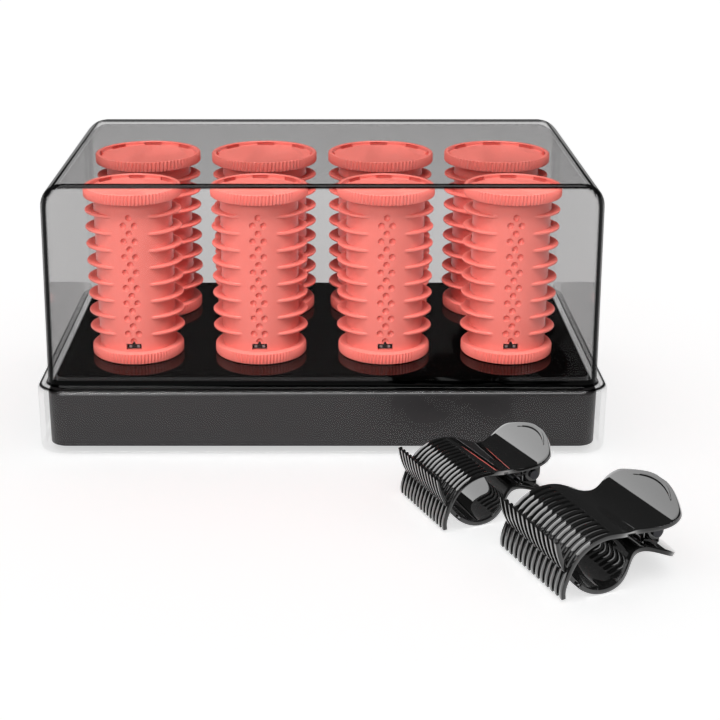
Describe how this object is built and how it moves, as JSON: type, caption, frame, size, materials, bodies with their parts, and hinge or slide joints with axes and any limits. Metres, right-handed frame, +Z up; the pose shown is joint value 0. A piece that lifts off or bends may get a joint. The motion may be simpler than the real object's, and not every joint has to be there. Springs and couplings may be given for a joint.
{
  "type": "heated hair roller set",
  "caption": "Heated hair rollers standing on posts of a low base under a clear lift-off cover, with sprung comb clips beside it.",
  "frame": {"origin": "middle of the base footprint, on the table plane under the centre foot", "axes": "+X to the right along the rows of rollers, +Y to the back where the cord inlet is, +Z up; the front faces -Y"},
  "size_m": [0.2278, 0.2489, 0.1068],
  "materials": {
    "base_plastic": "satin charcoal moulded plastic",
    "deck_plastic": "polished black moulded plastic",
    "cover_clear": "smoke-tinted clear plastic, polished",
    "roller_coral": "satin coral moulded plastic",
    "inner_plastic": "satin black heat-resistant plastic",
    "post_aluminium": "turned aluminium",
    "screw_steel": "zinc-plated steel",
    "foot_rubber": "matt black rubber",
    "clip_plastic": "glossy black moulded plastic"
  },
  "bodies": {
    "base": {"base_housing": "base_plastic", "base_pan": "base_plastic", "deck_plate": "deck_plastic", "heating_posts": "post_aluminium", "heater_plate": "post_aluminium", "thermostat": "inner_plastic", "terminal_block": "inner_plastic", "wiring": "inner_plastic", "cord_gland": "inner_plastic", "base_screws": "screw_steel", "rubber_feet": "foot_rubber"},
    "cover": {"cover": "cover_clear"},
    "roller_f1": {"roller_f1_shell": "roller_coral", "roller_f1_cap": "roller_coral", "roller_f1_ring": "roller_coral", "roller_f1_core": "inner_plastic", "roller_f1_sleeve": "post_aluminium"},
    "roller_f2": {"roller_f2_shell": "roller_coral", "roller_f2_cap": "roller_coral", "roller_f2_ring": "roller_coral", "roller_f2_core": "inner_plastic", "roller_f2_sleeve": "post_aluminium"},
    "roller_f3": {"roller_f3_shell": "roller_coral", "roller_f3_cap": "roller_coral", "roller_f3_ring": "roller_coral", "roller_f3_core": "inner_plastic", "roller_f3_sleeve": "post_aluminium"},
    "roller_f4": {"roller_f4_shell": "roller_coral", "roller_f4_cap": "roller_coral", "roller_f4_ring": "roller_coral", "roller_f4_core": "inner_plastic", "roller_f4_sleeve": "post_aluminium"},
    "roller_b1": {"roller_b1_shell": "roller_coral", "roller_b1_cap": "roller_coral", "roller_b1_ring": "roller_coral", "roller_b1_core": "inner_plastic", "roller_b1_sleeve": "post_aluminium"},
    "roller_b2": {"roller_b2_shell": "roller_coral", "roller_b2_cap": "roller_coral", "roller_b2_ring": "roller_coral", "roller_b2_core": "inner_plastic", "roller_b2_sleeve": "post_aluminium"},
    "roller_b3": {"roller_b3_shell": "roller_coral", "roller_b3_cap": "roller_coral", "roller_b3_ring": "roller_coral", "roller_b3_core": "inner_plastic", "roller_b3_sleeve": "post_aluminium"},
    "roller_b4": {"roller_b4_shell": "roller_coral", "roller_b4_cap": "roller_coral", "roller_b4_ring": "roller_coral", "roller_b4_core": "inner_plastic", "roller_b4_sleeve": "post_aluminium"},
    "clip_a_lower": {"clip_a_lower_jaw": "clip_plastic", "clip_a_pin": "screw_steel", "clip_a_spring": "screw_steel"},
    "clip_a_upper": {"clip_a_upper_jaw": "clip_plastic"},
    "clip_b_lower": {"clip_b_lower_jaw": "clip_plastic", "clip_b_pin": "screw_steel", "clip_b_spring": "screw_steel"},
    "clip_b_upper": {"clip_b_upper_jaw": "clip_plastic"}
  },
  "joints": [
    {"name": "cover_lift", "type": "slide", "parent": "base", "child": "cover", "axis": [0, 0, 1], "range_m": [0, 0.22]},
    {"name": "roller_f1_lift", "type": "slide", "parent": "base", "child": "roller_f1", "axis": [0, 0, 1], "range_m": [0, 0.088]},
    {"name": "roller_f2_lift", "type": "slide", "parent": "base", "child": "roller_f2", "axis": [0, 0, 1], "range_m": [0, 0.088]},
    {"name": "roller_f3_lift", "type": "slide", "parent": "base", "child": "roller_f3", "axis": [0, 0, 1], "range_m": [0, 0.088]},
    {"name": "roller_f4_lift", "type": "slide", "parent": "base", "child": "roller_f4", "axis": [0, 0, 1], "range_m": [0, 0.088]},
    {"name": "roller_b1_lift", "type": "slide", "parent": "base", "child": "roller_b1", "axis": [0, 0, 1], "range_m": [0, 0.088]},
    {"name": "roller_b2_lift", "type": "slide", "parent": "base", "child": "roller_b2", "axis": [0, 0, 1], "range_m": [0, 0.088]},
    {"name": "roller_b3_lift", "type": "slide", "parent": "base", "child": "roller_b3", "axis": [0, 0, 1], "range_m": [0, 0.088]},
    {"name": "roller_b4_lift", "type": "slide", "parent": "base", "child": "roller_b4", "axis": [0, 0, 1], "range_m": [0, 0.088]},
    {"name": "clip_a_pick_up", "type": "slide", "parent": "base", "child": "clip_a_lower", "axis": [0, 0, 1], "range_m": [0, 0.1]},
    {"name": "clip_a_jaw_open", "type": "hinge", "parent": "clip_a_lower", "child": "clip_a_upper", "pos_m": [0.10512, -0.1479, 0.014], "axis": [-0.3746, 0.9272, 0], "range_deg": [0, 38], "stiffness_Nm_per_rad": 0.12, "springref_deg": -22.92, "deforming": ["clip_a_spring"]},
    {"name": "clip_b_pick_up", "type": "slide", "parent": "base", "child": "clip_b_lower", "axis": [0, 0, 1], "range_m": [0, 0.1]},
    {"name": "clip_b_jaw_open", "type": "hinge", "parent": "clip_b_lower", "child": "clip_b_upper", "pos_m": [0.07064, -0.10208, 0.01351], "axis": [-0.3939, 0.9191, 0], "range_deg": [0, 38], "stiffness_Nm_per_rad": 0.12, "springref_deg": -22.92, "deforming": ["clip_b_spring"]}
  ],
  "couplings": [
    {"joint": "roller_f1_lift", "follows": "cover_lift", "ratio": 0.4},
    {"joint": "roller_f2_lift", "follows": "cover_lift", "ratio": 0.4},
    {"joint": "roller_f3_lift", "follows": "cover_lift", "ratio": 0.4},
    {"joint": "roller_f4_lift", "follows": "cover_lift", "ratio": 0.4},
    {"joint": "roller_b1_lift", "follows": "cover_lift", "ratio": 0.4},
    {"joint": "roller_b2_lift", "follows": "cover_lift", "ratio": 0.4},
    {"joint": "roller_b3_lift", "follows": "cover_lift", "ratio": 0.4},
    {"joint": "roller_b4_lift", "follows": "cover_lift", "ratio": 0.4}
  ]
}
